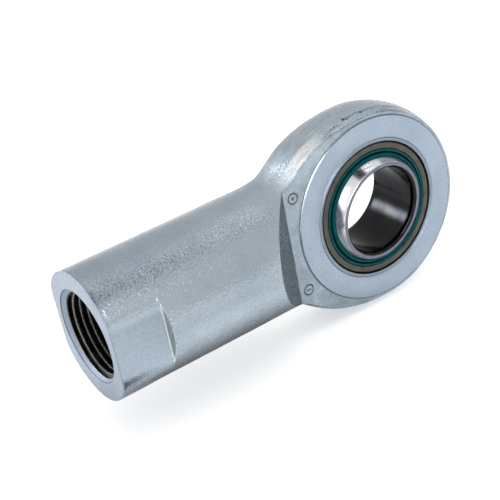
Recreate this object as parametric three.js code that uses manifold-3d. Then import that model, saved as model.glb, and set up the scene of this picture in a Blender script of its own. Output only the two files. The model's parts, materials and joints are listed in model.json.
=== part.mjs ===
// Rod end bearing with a female shank: a maintenance-free spherical plain
// bearing, bore 40 mm, pressed and staked into a forged eye with an M39x3 thread.
// Millimetres. Origin: centre of the ball. +Y runs along the eye's axis, from
// the front face to the rear; the shank runs along -X; +Z is up.
import * as THREE from "three";
import { mergeVertices } from "three/addons/utils/BufferGeometryUtils.js";
import Module from "manifold-3d";

const wasm = await Module();
wasm.setup();

// Eye of the housing
const EYE_R = 46; // largest radius, on the middle plane
const CROWN_R = 28.5; // radius of the crowned rim, the same as the shank's
const EYE_HALF = 11.5; // machined faces
const FORGED_HALF = 11.05; // forged surface around the machined faces
const FACED_R = 42.2; // edge of the machined faces
const SEAT_R = 31.2; // seat of the bearing
const LIP_R = 30.55; // staked lip over the bearing's chamfer
const STAKE_R = 31.95; // staking groove
const STAKE_DEPTH = 0.45;

// Shank
const LENGTH = 142; // ball centre to the end of the shank
const SHANK_R = 28.5;
const SLOPE_X = -47; // foot of the 45 degree slope from the shank to the eye
const RIM_CHAMFER = 0.4;
const FLAT_HALF = 25; // wrench size 50
const FLAT_LENGTH = 23.3;
const WALL_RUN = 1.3; // how far the wall of a wrench flat leans along the shank

// Thread M39x3
const PITCH = 3;
const MAJOR_R = 19.5;
const MINOR_R = 17.876;
const THREAD_LENGTH = 65;
const DRILL_DEPTH = 70;
const DRILL_TIP = 10.7;
const MOUTH_R = 20.75;

// Bearing
const BALL_R = 26.5;
const BORE_R = 20;
const RING_HALF = 14;
const BORE_CHAMFER = 1;
const LINER_IN = 26.66;
const LINER_OUT = 27.03;
const LINER_HALF = 8.3;
const SOCKET_R = 27.18;
const OUTER_R = 31;
const OUTER_HALF = 11;
const OUTER_CHAMFER_R = 29.65;
const OUTER_CHAMFER_Y = 9.9;
const GROOVE_R = 27.3;
const GROOVE_Y = 8.9;

// The ball ring is stored as it lies in its socket, turned out of line
const RING_TILT_X = 4.2;
const RING_TILT_Z = 3.6;

const EYE_SEGMENTS = 64;
const BALL_SEGMENTS = 60;
const SEAL_SEGMENTS = 48;
const SHANK_SEGMENTS = 48;
const THREAD_SEGMENTS = 24;

const v2 = (r, y) => new THREE.Vector2(r, y);
const radians = THREE.MathUtils.degToRad;

// ---- solids ---------------------------------------------------------------

function solid(geometry) {
  let g = geometry.clone();
  g.deleteAttribute("normal");
  g.deleteAttribute("uv");
  g = mergeVertices(g, 1e-4);
  const index = [];
  const source = g.index.array;
  for (let i = 0; i < source.length; i += 3) {
    const [a, b, c] = [source[i], source[i + 1], source[i + 2]];
    if (a !== b && b !== c && c !== a) index.push(a, b, c);
  }
  const make = (triangles) =>
    new wasm.Manifold(
      new wasm.Mesh({
        numProp: 3,
        vertProperties: Float32Array.from(g.attributes.position.array),
        triVerts: Uint32Array.from(triangles),
      }),
    );
  const body = make(index);
  if (body.volume() > 0) return body;
  const flipped = [];
  for (let i = 0; i < index.length; i += 3) {
    flipped.push(index[i], index[i + 2], index[i + 1]);
  }
  return make(flipped);
}

function toGeometry(body) {
  const mesh = body.getMesh();
  const g = new THREE.BufferGeometry();
  const count = mesh.vertProperties.length / mesh.numProp;
  const xyz = new Float32Array(count * 3);
  for (let i = 0; i < count; i++) {
    for (let k = 0; k < 3; k++) {
      xyz[3 * i + k] = mesh.vertProperties[mesh.numProp * i + k];
    }
  }
  g.setAttribute("position", new THREE.BufferAttribute(xyz, 3));
  g.setIndex(Array.from(mesh.triVerts));
  const flat = g.toNonIndexed();
  flat.computeVertexNormals();
  return flat;
}

// A solid of revolution about Y. Its profile lists (radius, y).
function turned(points, segments) {
  return new THREE.LatheGeometry(points, segments);
}

// The same about X. Its profile lists (radius, x).
function turnedAboutX(points, segments) {
  const profile = points.map((p) => v2(p.x, -p.y));
  return turned(profile, segments).rotateZ(Math.PI / 2);
}

function closed(points) {
  return [...points, points[0].clone()];
}

// A slab with an outline in the (x, y) plane, centred on z = 0
function slab(points, depth) {
  const g = new THREE.ExtrudeGeometry(new THREE.Shape(points), { depth, bevelEnabled: false });
  return g.translate(0, 0, -depth / 2);
}

// Points of an arc about the origin in the (radius, y) plane, between two heights
function arc(radius, y0, y1, steps) {
  const a0 = Math.asin(y0 / radius);
  const a1 = Math.asin(y1 / radius);
  const points = [];
  for (let i = 0; i <= steps; i++) {
    const a = a0 + ((a1 - a0) * i) / steps;
    points.push(v2(radius * Math.cos(a), radius * Math.sin(a)));
  }
  return points;
}

// ---- housing --------------------------------------------------------------

// Upper half of the forging's outline on its middle plane, with inward normals
function outline() {
  const neck = new THREE.SplineCurve([
    v2(-58, 28.5),
    v2(-52, 28.55),
    v2(-47.4, 29.5),
    v2(-43.5, 31.7),
    v2(-39.7, 34.7),
    v2(-35.5, 37.5),
    v2(-31.6, 39.7),
    v2(-26, 42),
    v2(-17, 44.5),
    v2(-8, 45.75),
    v2(0, 46),
  ]);
  const line = [{ p: v2(-LENGTH, SHANK_R), n: v2(0, -1) }];
  const steps = 14;
  for (let i = 0; i < steps; i++) {
    const t = i / steps;
    const tangent = i === 0 ? v2(1, 0) : neck.getTangentAt(t);
    line.push({ p: neck.getPointAt(t), n: v2(tangent.y, -tangent.x) });
  }
  const quarter = EYE_SEGMENTS / 4;
  for (let i = 0; i <= quarter; i++) {
    const a = (Math.PI / 2) * (1 - i / quarter);
    const out = v2(Math.cos(a), Math.sin(a));
    line.push({ p: out.clone().multiplyScalar(EYE_R), n: out.negate() });
  }
  return line;
}

// Half of the forging: the outline swept round the crown, closed on z = 0
function forgedHalf() {
  const line = outline();
  const bands = SHANK_SEGMENTS / 2;
  const rows = line.map(({ p, n }) => {
    const row = [];
    for (let j = 0; j <= bands; j++) {
      const a = -Math.PI / 2 + (Math.PI * j) / bands;
      const inset = CROWN_R * (1 - Math.cos(a));
      row.push([p.x + n.x * inset, CROWN_R * Math.sin(a), p.y + n.y * inset]);
    }
    return row;
  });
  return { rows, bands };
}

function forging() {
  const { rows, bands } = forgedHalf();
  const xyz = [];
  const index = [];
  const add = (p) => xyz.push(...p) / 3 - 1;
  const last = rows.length - 1;
  for (const side of [1, -1]) {
    const id = rows.map((row, i) =>
      row.map(([x, y, z]) => add([x, y, i === last ? 0 : side * z])),
    );
    const face = (a, b, c) => index.push(...(side > 0 ? [a, b, c] : [a, c, b]));
    for (let i = 0; i < last; i++) {
      for (let j = 0; j < bands; j++) {
        face(id[i][j], id[i + 1][j], id[i][j + 1]);
        face(id[i + 1][j], id[i + 1][j + 1], id[i][j + 1]);
      }
    }
    // end of the shank, and the two caps at the crown's inner edge
    const base = rows[0].map(([x, y]) => add([x, y, 0]));
    for (let j = 0; j < bands; j++) {
      face(id[0][j], id[0][j + 1], base[j]);
      face(base[j], id[0][j + 1], base[j + 1]);
    }
    const floor = [0, bands].map((j) => rows.map((row) => add([row[j][0], row[j][1], 0])));
    for (let i = 0; i < last; i++) {
      face(id[i][0], floor[0][i], id[i + 1][0]);
      face(floor[0][i], floor[0][i + 1], id[i + 1][0]);
      face(id[i][bands], id[i + 1][bands], floor[1][i]);
      face(floor[1][i], id[i + 1][bands], floor[1][i + 1]);
    }
  }
  const g = new THREE.BufferGeometry();
  g.setAttribute("position", new THREE.Float32BufferAttribute(xyz, 3));
  g.setIndex(index);
  return solid(g);
}

// The space above one side of the eye, up the 45 degree slope to the shank
function slopeCutter(side) {
  const rise = 22;
  const points = [
    v2(SLOPE_X, side * FORGED_HALF),
    v2(60, side * FORGED_HALF),
    v2(60, side * (FORGED_HALF + rise)),
    v2(SLOPE_X - rise, side * (FORGED_HALF + rise)),
  ];
  return solid(slab(points, 120));
}

// Seat, staked lips and staking grooves, as the tool that cuts them
function seatCutter() {
  const half = [
    v2(SEAT_R, 9.7),
    v2(LIP_R, 10.85),
    v2(LIP_R, 11.2),
    v2(LIP_R + 0.3, EYE_HALF),
    v2(LIP_R + 0.3, 13),
  ];
  const down = half.map((p) => v2(p.x, -p.y)).reverse();
  const tool = solid(turned([v2(0, -13), ...down, ...half, v2(0, 13)], EYE_SEGMENTS));
  return [1, -1].reduce((cut, side) => {
    const groove = closed([
      v2(STAKE_R, side * (EYE_HALF - STAKE_DEPTH)),
      v2(STAKE_R + 0.5, side * (EYE_HALF + 0.05)),
      v2(STAKE_R - 0.5, side * (EYE_HALF + 0.05)),
    ]);
    return cut.add(solid(turned(groove, EYE_SEGMENTS)));
  }, tool);
}

// The tapping drill below the thread, with its point
function drill() {
  return solid(
    turnedAboutX(
      [
        v2(0, -LENGTH + THREAD_LENGTH - PITCH),
        v2(MINOR_R, -LENGTH + THREAD_LENGTH - PITCH),
        v2(MINOR_R, -LENGTH + DRILL_DEPTH),
        v2(0, -LENGTH + DRILL_DEPTH + DRILL_TIP),
      ],
      THREAD_SEGMENTS,
    ),
  );
}

// The chamfer at the thread's mouth
function countersink() {
  return solid(
    turnedAboutX(
      [
        v2(0, -LENGTH - 1),
        v2(MOUTH_R + 1, -LENGTH - 1),
        v2(MINOR_R - 1, -LENGTH + MOUTH_R - MINOR_R + 1),
        v2(0, -LENGTH + MOUTH_R - MINOR_R + 1),
      ],
      SHANK_SEGMENTS,
    ),
  );
}

// A screw of the thread's own form. Each step has four points, from the crest
// of one turn over the root to the next crest; the last turn runs out.
function tap() {
  const turns = Math.round(THREAD_LENGTH / PITCH) + 2;
  const steps = turns * THREAD_SEGMENTS;
  const start = -LENGTH - 2.5 * PITCH;
  const halfWidth = (r) => 0.375 * PITCH - (r - MINOR_R) * Math.tan(radians(30));
  const xyz = [];
  const index = [];
  for (let i = 0; i <= steps; i++) {
    const a = (2 * Math.PI * i) / THREAD_SEGMENTS;
    const x = start + (PITCH * i) / THREAD_SEGMENTS;
    const left = Math.min(1, (steps - i) / THREAD_SEGMENTS);
    const rootR = MINOR_R + 0.12 + (MAJOR_R - MINOR_R - 0.12) * left;
    for (const [r, side] of [
      [MINOR_R, -1],
      [rootR, -1],
      [rootR, 1],
      [MINOR_R, 1],
    ]) {
      xyz.push(x + side * halfWidth(r), r * Math.cos(a), r * Math.sin(a));
    }
  }
  const quad = (a, b, c, d) => index.push(a, b, c, a, c, d);
  for (let i = 0; i < steps; i++) {
    for (let k = 0; k < 3; k++) {
      quad(4 * i + k, 4 * i + k + 1, 4 * i + k + 5, 4 * i + k + 4);
    }
    const next = i + THREAD_SEGMENTS;
    if (next < steps) {
      quad(4 * i + 3, 4 * next, 4 * next + 4, 4 * i + 7);
    }
  }
  // both ends close on a point of the axis
  const first = [0, 1, 2, 3];
  for (let i = THREAD_SEGMENTS; i > 0; i--) first.push(4 * i);
  const final = [];
  for (let i = steps - THREAD_SEGMENTS; i <= steps; i++) final.push(4 * i + 3);
  final.push(4 * steps + 2, 4 * steps + 1, 4 * steps);
  for (const loop of [first, final]) {
    const centre = xyz.length / 3;
    const x = loop.reduce((sum, i) => sum + xyz[3 * i], 0) / loop.length;
    xyz.push(x, 0, 0);
    loop.forEach((a, i) => index.push(loop[(i + 1) % loop.length], a, centre));
  }
  const g = new THREE.BufferGeometry();
  g.setAttribute("position", new THREE.Float32BufferAttribute(xyz, 3));
  g.setIndex(index);
  return solid(g);
}

// The metal taken off for one wrench flat, up to its leaning wall
function flatCutter(side) {
  const foot = -LENGTH + FLAT_LENGTH;
  const rise = 2 * (SHANK_R - FLAT_HALF);
  const points = [
    v2(-LENGTH - 2, side * FLAT_HALF),
    v2(foot, side * FLAT_HALF),
    v2(foot + 2 * WALL_RUN, side * (FLAT_HALF + rise)),
    v2(-LENGTH - 2, side * (FLAT_HALF + rise)),
  ];
  return solid(slab(points, 80));
}

function housing() {
  const faces = solid(
    turned(
      [v2(0, -EYE_HALF), v2(FACED_R, -EYE_HALF), v2(FACED_R, EYE_HALF), v2(0, EYE_HALF)],
      EYE_SEGMENTS,
    ),
  );
  const rim = solid(
    turnedAboutX(
      [
        v2(0, -LENGTH),
        v2(SHANK_R - RIM_CHAMFER, -LENGTH),
        v2(SHANK_R, -LENGTH + RIM_CHAMFER),
        v2(70, -LENGTH + RIM_CHAMFER),
        v2(70, 70),
        v2(0, 70),
      ],
      SHANK_SEGMENTS,
    ),
  );
  return forging()
    .subtract(slopeCutter(1))
    .subtract(slopeCutter(-1))
    .add(faces)
    .intersect(rim)
    .subtract(seatCutter())
    .subtract(flatCutter(1))
    .subtract(flatCutter(-1))
    .subtract(tap().add(drill()))
    .subtract(countersink());
}

// ---- bearing --------------------------------------------------------------

function outerRing() {
  const lower = [
    v2(GROOVE_R, -GROOVE_Y),
    v2(GROOVE_R, -OUTER_HALF),
    v2(OUTER_CHAMFER_R, -OUTER_HALF),
    v2(OUTER_R, -OUTER_CHAMFER_Y),
  ];
  const upper = lower.map((p) => v2(p.x, -p.y)).reverse();
  const socket = arc(SOCKET_R, GROOVE_Y, -GROOVE_Y, 6);
  return turned(closed([...socket, ...lower, ...upper]), EYE_SEGMENTS);
}

function liner() {
  const inside = arc(LINER_IN, LINER_HALF, -LINER_HALF, 5);
  const outside = arc(LINER_OUT, -LINER_HALF, LINER_HALF, 5);
  return turned(closed([...inside, ...outside]), SEAL_SEGMENTS);
}

function innerRing() {
  const ball = arc(BALL_R, -RING_HALF, RING_HALF, 12);
  const profile = [
    v2(BORE_R + BORE_CHAMFER, -RING_HALF),
    ...ball,
    v2(BORE_R + BORE_CHAMFER, RING_HALF),
    v2(BORE_R, RING_HALF - BORE_CHAMFER),
    v2(BORE_R, -RING_HALF + BORE_CHAMFER),
  ];
  return turned(closed(profile), BALL_SEGMENTS);
}

// Two-lip seal. Its inner side follows the ball; side is -1 in front, 1 at the rear
function seal(side) {
  const profile = [
    v2(25.1, 9.15),
    v2(27.08, 9.15),
    v2(27.08, 11.05),
    v2(26.75, 11.2),
    v2(25.9, 11.2),
    v2(25.65, 10.45),
    v2(25.3, 10.4),
    v2(25.1, 11.35),
    v2(24.7, 11.95),
    v2(24.15, 12.05),
    v2(23.9, 11.87),
    v2(24.35, 10.92),
    v2(24.75, 9.99),
  ].map((p) => v2(p.x, side * p.y));
  return turned(closed(profile), SEAL_SEGMENTS);
}

// ---- assembly -------------------------------------------------------------

function steel(color, roughness, metalness) {
  return new THREE.MeshStandardMaterial({ color, roughness, metalness });
}

function piece(name, geometry, material) {
  const mesh = new THREE.Mesh(geometry, material);
  mesh.name = name;
  return mesh;
}

const rodEnd = new THREE.Group();
rodEnd.add(piece("housing", toGeometry(housing()), steel(0xa9b4c0, 0.45, 0.9)));
rodEnd.add(piece("outer_ring", toGeometry(solid(outerRing())), steel(0x4b453f, 0.6, 0.6)));
rodEnd.add(piece("liner", toGeometry(solid(liner())), steel(0x7a6a45, 0.8, 0.1)));
rodEnd.add(piece("front_seal", toGeometry(solid(seal(-1))), steel(0x0b5a50, 0.5, 0)));
rodEnd.add(piece("rear_seal", toGeometry(solid(seal(1))), steel(0x0b5a50, 0.5, 0)));

const ring = piece("inner_ring", toGeometry(solid(innerRing())), steel(0xc9ccd2, 0.12, 1));
ring.rotation.set(radians(RING_TILT_X), 0, radians(RING_TILT_Z), "ZYX");
rodEnd.add(ring);

export default rodEnd;
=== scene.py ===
"""Looks of the rod end bearing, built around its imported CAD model."""

import json
import math

import bmesh
import bpy
import numpy as np
from mathutils import Matrix, Vector, noise


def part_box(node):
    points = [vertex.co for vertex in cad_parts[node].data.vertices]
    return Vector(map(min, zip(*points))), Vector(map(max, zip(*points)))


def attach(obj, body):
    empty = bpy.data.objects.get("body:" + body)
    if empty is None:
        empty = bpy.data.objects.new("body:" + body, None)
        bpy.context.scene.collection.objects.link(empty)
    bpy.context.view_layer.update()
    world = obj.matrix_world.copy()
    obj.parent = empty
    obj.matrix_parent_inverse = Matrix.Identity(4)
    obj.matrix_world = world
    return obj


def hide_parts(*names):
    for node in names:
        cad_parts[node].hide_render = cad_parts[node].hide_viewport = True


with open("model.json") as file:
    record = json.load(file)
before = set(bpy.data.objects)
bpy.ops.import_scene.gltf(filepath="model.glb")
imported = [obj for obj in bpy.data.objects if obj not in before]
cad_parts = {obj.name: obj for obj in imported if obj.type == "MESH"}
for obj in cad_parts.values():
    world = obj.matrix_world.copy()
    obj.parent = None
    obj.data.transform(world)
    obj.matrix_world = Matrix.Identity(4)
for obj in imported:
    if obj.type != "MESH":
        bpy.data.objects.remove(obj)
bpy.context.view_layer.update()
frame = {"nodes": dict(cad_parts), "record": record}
MM = 0.001
FAR = 1e9

# ---- dimensions in millimetres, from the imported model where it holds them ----

housing_low, housing_high = [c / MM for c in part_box("housing")]
_, ring_high = [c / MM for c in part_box("outer_ring")]
_, ball_high = [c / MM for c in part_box("inner_ring")]

LENGTH = -housing_low.x
EYE_R = housing_high.z
SHANK_R = housing_high.y
OUTER_R = ring_high.z
OUTER_HALF = ring_high.y
BALL_R = ball_high.z

# the eye, with the machined disc on its faces
EYE_HALF = OUTER_HALF + 0.5
FORGED_HALF = EYE_HALF - 0.45
FACED_R = 42.2
DISC_BEVEL = 0.44
INNER_HOLE_R = 40.0  # where the forged skin ends, under the machined disc
SEAT_R = OUTER_R + 0.2
LIP_R = 30.55
GROOVE_R = 31.1
STAKE_R = 31.95
SCORE_R = 32.5

# the neck, on the forging's middle plane, from the shank to the top of the eye
NECK = [
    (-58, 28.5), (-52, 28.55), (-47.4, 29.5), (-43.5, 31.7), (-39.7, 34.7), (-35.5, 37.5),
    (-31.6, 39.7), (-26, 42), (-17, 44.5), (-8, 45.75), (0, 46),
]
NECK_START = NECK[0][0]
LEAD = 20  # of outline before the shank's end, so that easing it leaves the end alone
EASE_REACH, EASE_SPREAD = 45, 15  # of the easing, in steps of 0.1 mm along the outline
SLOPE_X = -47.0
FOOT_FILLET = 0.8
CORNER_ROUND = 0.8
CROWN_SHARE = 0.985  # of the shank's radius, the highest that the crown's edge climbs

# the shank and its wrench flats
RIM_CHAMFER = 0.3
FLAT_HALF = 25.0
FLAT_LENGTH = 23.3
FLAT_END = -LENGTH + FLAT_LENGTH
WALL_RUN = 1.3  # how far the wall of a wrench flat leans along the shank
WALL_END = FLAT_END + WALL_RUN
WALL_ROUND = 0.3
FLAT_ROUND = 2.4
FLAT_EDGE = math.asin(FLAT_HALF / SHANK_R)
FLAT_GRAIN = 0.15  # share of the forging's roughness left on the milled flats
MILLED_FADE = 0.7

# the forged skin's dents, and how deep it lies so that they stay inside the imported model
DENTS = [(0.06, 0.16), (0.22, 0.07), (0.9, 0.035)]  # per mm, mm
DENTS_SUNK = 0.05
SKIN_SUNK = 0.1

# the thread
PITCH = 3.0
MAJOR_R = 19.5
MINOR_R = 17.876
THREAD_LENGTH = 65.0
THREAD_END = -LENGTH + THREAD_LENGTH
DRILL_DEPTH = 70.0
DRILL_TIP = 10.7
DRILL_POINT = 0.001  # radius of the tip, which can't be nothing
MOUTH_R = 20.75
MOUTH_PLATED = 1.9  # depth of the countersink that is plated, before the oily thread

# the bearing
BORE_R = 20.0
RING_HALF = 14.0
BORE_CHAMFER = 1.0
RACE_R = 27.18
RACE_HALF = 8.9
SEAL_SEAT_R = 27.3

# the flash line's height over the front of the crown, by degrees about the eye
FLASH_TURN = [35, 60, 100, 118, 165]
FLASH_Y = [-8.6, -7.3, -7.2, -9.6, -9.8]
FLASH_WAVES = [(0.35, 0.3, 0.0), (0.83, 0.25, 1.0), (2.1, 0.16, 2.0)]  # per degree, mm, phase
FLASH_START = (35.0, 60.0)  # degrees over which the line fades in
RISE_STOP = (106.0, 116.0)  # and over which its rise and its crack fade out
CRACK_STOP = (112.0, 120.0)
FLASH_RISE = 0.14

# stamps as x, z and kind; flaws as a place and a reach
STAMPS = [(-42.2, 22.4, "dot"), (-42.3, -22.1, "bar")]
STAMP_R = 2.35
STAMP_REACH = 3.4
STAMP_DEPTH = 0.26
STAMP_BURR = 0.07
FLAWS = [((-8.2, -6.9, 44.6), 1.0), ((-6.6, -7.6, 44.6), 0.7), ((1.2, -7.4, 44.6), 0.9)]
RUST_SPOT = (-12.6, -11.0, -24.7)

LATHE_STEPS = 288
RING_STEPS = 360
FORGED, MACHINED, THREADED = range(3)

# ---- looks ----

MILLED_ZINC = (0.37, 0.435, 0.515)
EDGE_HIGHLIGHT = (0.88, 0.9, 0.9)
NEAR_BLACK = (0.05, 0.055, 0.06)
NECK_GLOSS_X = -46.0  # where the neck's hollow would gather the light, and is duller

# ---- view and light, in metres ----

CAMERA_PLACE = Vector((-0.2879, -0.4032, 0.2444))
CAMERA_AZIMUTH = math.radians(-30.39)
CAMERA_ELEVATION = math.radians(27.73)
CAMERA_ROLL = math.radians(-11.04)
LENS_MM = 88.38
SHIFT = (-0.0398, -0.0014)
SKY_BRIGHT = 0.85
SKY_DIM = 0.7
SKY_DIM_TOWARDS = Vector((0.1, 0.87, 0.48)).normalized()
SKY_FADE = (0.7, 0.95)  # closeness to that direction over which the sky dims
FLOOR_GAP = 0.4  # millimetres below the eye's rim
CARD_LIFT = 0.0002


# ---- mesh building -----------------------------------------------------------


class Skin:
    """Collects grids of points in millimetres and welds them into one mesh."""

    def __init__(self):
        self.points = []
        self.faces = []
        self.slots = []
        self.grain = []
        self.count = 0

    def grid(self, rows, slot=0, wrap=False, grain=0.0, slots=None):
        """rows is an array of rows by columns by xyz. wrap joins last column to first."""
        n, m, _ = rows.shape
        ids = self.count + np.arange(n * m).reshape(n, m)
        self.points.append(rows.reshape(-1, 3))
        self.grain.append(np.broadcast_to(grain, (n, m)).reshape(-1))
        self.count += n * m
        if wrap:
            ids = np.hstack([ids, ids[:, :1]])
        quads = np.stack([ids[:-1, :-1], ids[1:, :-1], ids[1:, 1:], ids[:-1, 1:]], axis=-1)
        self.faces.append(quads.reshape(-1, 4))
        if slots is None:
            slots = np.full(quads.shape[:2], slot)
        self.slots.append(slots.reshape(-1))

    def build(self, name, materials, weld=0.004):
        """One object from the grids. Its "grain" says how strongly each vertex is forged."""
        points = np.vstack(self.points) * MM
        mesh = bpy.data.meshes.new(name)
        mesh.from_pydata(points.tolist(), [], np.vstack(self.faces).tolist())
        mesh.polygons.foreach_set("material_index", np.concatenate(self.slots).astype(np.int32))
        layer = mesh.attributes.new("grain", "FLOAT", "POINT")
        layer.data.foreach_set("value", np.concatenate(self.grain).astype(np.float32))
        for material in materials:
            mesh.materials.append(material)
        shape = bmesh.new()
        shape.from_mesh(mesh)
        bmesh.ops.remove_doubles(shape, verts=shape.verts, dist=weld * MM)
        bmesh.ops.dissolve_degenerate(shape, edges=shape.edges, dist=weld * MM / 4)
        bmesh.ops.recalc_face_normals(shape, faces=shape.faces)
        shape.to_mesh(mesh)
        shape.free()
        piece = bpy.data.objects.new(name, mesh)
        bpy.context.scene.collection.objects.link(piece)
        return piece


def smooth(piece, angle=32):
    """Smooth shading, broken at edges sharper than the angle."""
    mesh = piece.data
    mesh.polygons.foreach_set("use_smooth", [True] * len(mesh.polygons))
    mesh.set_sharp_from_angle(angle=math.radians(angle))


def lathe(profile, steps=LATHE_STEPS):
    """Rows of points of a profile of (radius, y), turned about the Y axis."""
    radius, y = np.array(profile, float).T
    turn = np.linspace(0, 2 * math.pi, steps, endpoint=False)
    rows = np.empty((len(radius), steps, 3))
    rows[..., 0] = radius[:, None] * np.cos(turn)
    rows[..., 1] = y[:, None]
    rows[..., 2] = radius[:, None] * np.sin(turn)
    return rows


def rounded(profile, radii, steps=5):
    """A closed profile with each corner rounded to its own radius."""
    points = [Vector(p) for p in profile]
    made = []
    for i, corner in enumerate(points):
        before, after = points[i - 1] - corner, points[(i + 1) % len(points)] - corner
        reach = min(radii[i], 0.49 * before.length, 0.49 * after.length)
        if reach <= 0:
            made.append(tuple(corner))
            continue
        start, end = corner + before.normalized() * reach, corner + after.normalized() * reach
        for k in range(steps + 1):
            t = k / steps
            bend = start * (1 - t) ** 2 + corner * 2 * t * (1 - t) + end * t**2
            made.append(tuple(bend))
    return made + [made[0]]


def rounded_run(points, radius):
    """An open run of points with its inner corners rounded."""
    corners = [0] + [radius] * (len(points) - 2) + [0]
    return rounded(points, corners)[:-1]


def ball_arc(radius, y0, y1, steps):
    """Points (radius, y) of an arc about the ball's centre between two heights."""
    angles = np.linspace(math.asin(y0 / radius), math.asin(y1 / radius), steps + 1)
    return [(radius * math.cos(a), radius * math.sin(a)) for a in angles]


def smooth_min(a, b, k):
    """The smaller of two values, with the corner between them eased over k."""
    h = np.clip(0.5 + 0.5 * (b - a) / k, 0, 1)
    return b + (a - b) * h - k * h * (1 - h)


def smoothstep(low, high, value):
    """Zero below low, rising smoothly to one above high."""
    t = np.clip((value - low) / (high - low), 0, 1)
    return t * t * (3 - 2 * t)


# ---- housing -----------------------------------------------------------------


def spline(points, per_span):
    """Points along a Catmull-Rom curve through the given points."""
    p = np.array(points, float)
    p = np.vstack([p[0], p, p[-1]])
    t = np.linspace(0, 1, per_span, endpoint=False)[:, None]
    spans = []
    for a, b, c, d in zip(p[:-3], p[1:-2], p[2:-1], p[3:]):
        cubic = 2 * b + (c - a) * t + (2 * a - 5 * b + 4 * c - d) * t**2
        spans.append(0.5 * (cubic + (3 * b - a - 3 * c + d) * t**3))
    return np.vstack([*spans, p[-1:]])


def outline_path():
    """The forging's outline as x and z at even lengths along it, its corners eased."""
    shank_x = np.linspace(-LENGTH - LEAD, NECK_START, 400)[:-1]
    shank = np.column_stack([shank_x, np.full(len(shank_x), SHANK_R)])
    turn = np.radians(np.linspace(90, -40, 600))[1:]
    eye = EYE_R * np.column_stack([np.cos(turn), np.sin(turn)])
    line = np.vstack([shank, spline(NECK, 40), eye])
    spans = np.linalg.norm(np.diff(line, axis=0), axis=1)
    length = np.concatenate([[0], np.cumsum(spans)]) - LEAD
    even = np.arange(2 - LEAD, length[-1] - 1, 0.1)
    path = np.column_stack([np.interp(even, length, line[:, k]) for k in (0, 1)])
    window = np.exp(-0.5 * (np.arange(-EASE_REACH, EASE_REACH + 1) / EASE_SPREAD) ** 2)
    window /= window.sum()
    for k in (0, 1):
        path[EASE_REACH:-EASE_REACH, k] = np.convolve(path[:, k], window, "valid")
    return even, path


def outline(stations):
    """Points and inward normals of the forging's outline at lengths along it."""
    even, path = outline_path()
    tangent = np.gradient(path, axis=0)
    tangent /= np.linalg.norm(tangent, axis=1)[:, None]
    points = np.column_stack([np.interp(stations, even, path[:, k]) for k in (0, 1)])
    along = np.column_stack([np.interp(stations, even, tangent[:, k]) for k in (0, 1)])
    return points, np.column_stack([along[:, 1], -along[:, 0]])


def cap_height(x):
    """Half thickness that the faces, slopes and wrench flats leave at a place along X."""
    slope = FORGED_HALF + (SLOPE_X - x)
    blended = -smooth_min(-slope, np.full_like(x, -FORGED_HALF), FOOT_FILLET)
    past = x + LENGTH - FLAT_LENGTH
    flats = FLAT_HALF + np.maximum(past, 0) * (SHANK_R - FLAT_HALF) / WALL_RUN
    return np.minimum(blended, np.where(past < WALL_RUN + 1, flats, FAR))


def stations_along():
    """Lengths along the outline at which the skin has a row, finer where it bends."""
    wall = FLAT_LENGTH
    neck = LENGTH + NECK_START
    even, path = outline_path()
    top = even[np.argmin(np.abs(path[:, 0]) + (path[:, 1] < 0) * FAR)]
    tip = top + EYE_R * math.pi / 2
    return np.concatenate([
        [0, RIM_CHAMFER / 2, RIM_CHAMFER],
        np.arange(RIM_CHAMFER + 0.3, wall - 0.7, 0.8),
        wall + np.array([-0.5, -0.25, -0.1, 0, 0.08, 0.2]),
        np.arange(wall + 0.35, wall + WALL_RUN + 0.5, 0.15),
        np.arange(wall + WALL_RUN + 0.9, neck - 8, 0.8),
        np.arange(neck - 7.5, neck + 24, 0.3),
        np.arange(neck + 24.3, top, 0.55),
        np.linspace(top, tip, 110),
    ])


def inward_reach(x, z, nx, nz):
    """How far each row runs inward: to the middle plane, or to the hole under the disc."""
    to_middle = np.where(nz < -1e-6, z / np.maximum(-nz, 1e-6), FAR)
    b = x * nx + z * nz
    root = b * b - (x**2 + z**2 - INNER_HOLE_R**2)
    to_hole = np.where(root > 0, -b - np.sqrt(np.maximum(root, 0)), FAR)
    to_hole = np.where(to_hole > 0, to_hole, FAR)
    return np.minimum(to_middle, to_hole)


def crown_angle(stations, x, nx):
    """How far the crown of each row turns before it meets the face, slope or flat."""
    near = x.copy()
    for _ in range(12):
        edge = np.arcsin(np.clip(cap_height(near) / SHANK_R, 0, CROWN_SHARE))
        near = x + nx * SHANK_R * (1 - np.cos(edge))
    on_shank = stations < LENGTH + NECK_START - 8
    blend = np.clip((stations - FLAT_LENGTH - 2) / 40, 0, 1)
    plain = FLAT_EDGE + (math.asin(CROWN_SHARE) - FLAT_EDGE) * blend
    return np.where(on_shank, plain, edge)


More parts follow.
